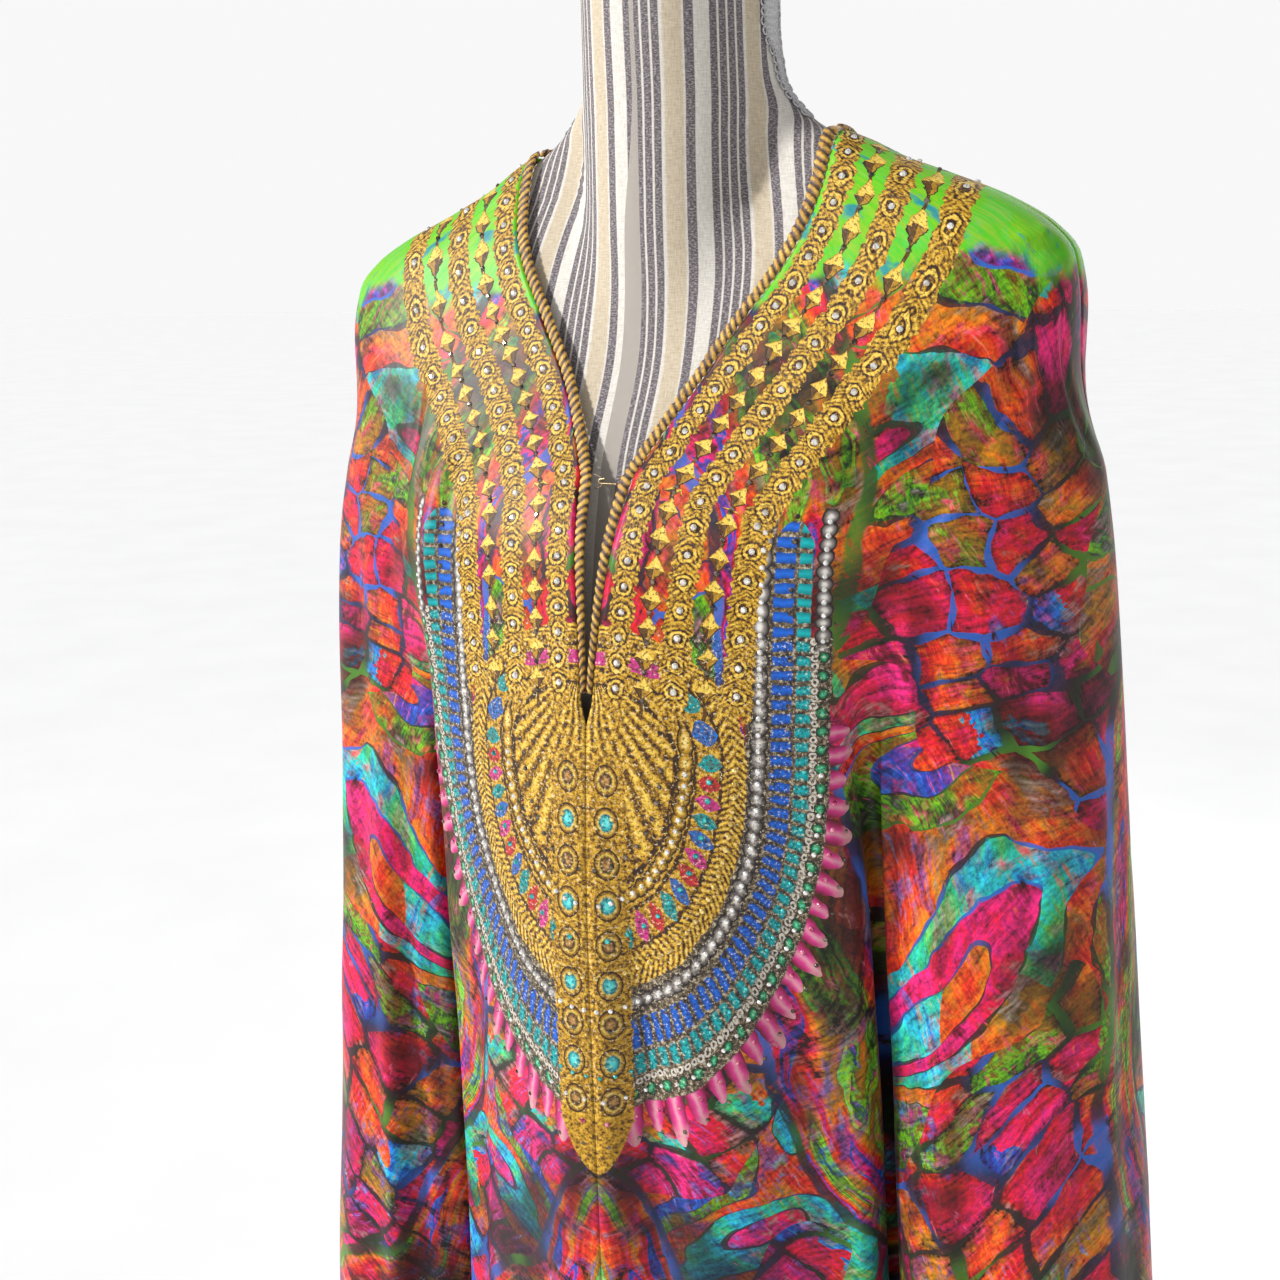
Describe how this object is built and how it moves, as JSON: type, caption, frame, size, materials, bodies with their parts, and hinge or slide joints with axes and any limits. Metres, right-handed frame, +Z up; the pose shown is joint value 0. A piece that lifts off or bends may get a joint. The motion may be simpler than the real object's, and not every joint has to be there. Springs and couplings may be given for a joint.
{
  "type": "kaftan dress on a dress form",
  "caption": "Long silk kaftan dress with butterfly sleeves and a slit V neck, worn by a limbless striped dress form on a pole stand with a round base.",
  "frame": {"origin": "centre of the round base's underside, on the floor under the pole", "axes": "+Z up along the pole; the dress faces -Y; +X is the wearer's left"},
  "size_m": [0.6495, 0.3, 1.5263],
  "materials": {
    "silk": "printed silk, soft sheen",
    "gold_braid": "metallic braid",
    "thread": "matte thread",
    "hook_metal": "satin",
    "ticking": "striped linen, matte",
    "lace": "matte cotton lace",
    "board": "satin",
    "steel": "satin black"
  },
  "bodies": {
    "root": {"kaftan_front_left": "silk", "kaftan_front_right": "silk", "kaftan_back": "silk", "neck_binding_left": "gold_braid", "neck_binding_right": "gold_braid", "neck_binding_back": "gold_braid", "neck_hook": "hook_metal", "neck_loop": "thread", "form_body": "ticking", "form_neck_cap": "ticking", "form_lace_left": "lace", "form_lace_right": "lace", "form_underboard": "board", "stand_pole": "steel", "stand_base": "steel"}
  },
  "joints": []
}
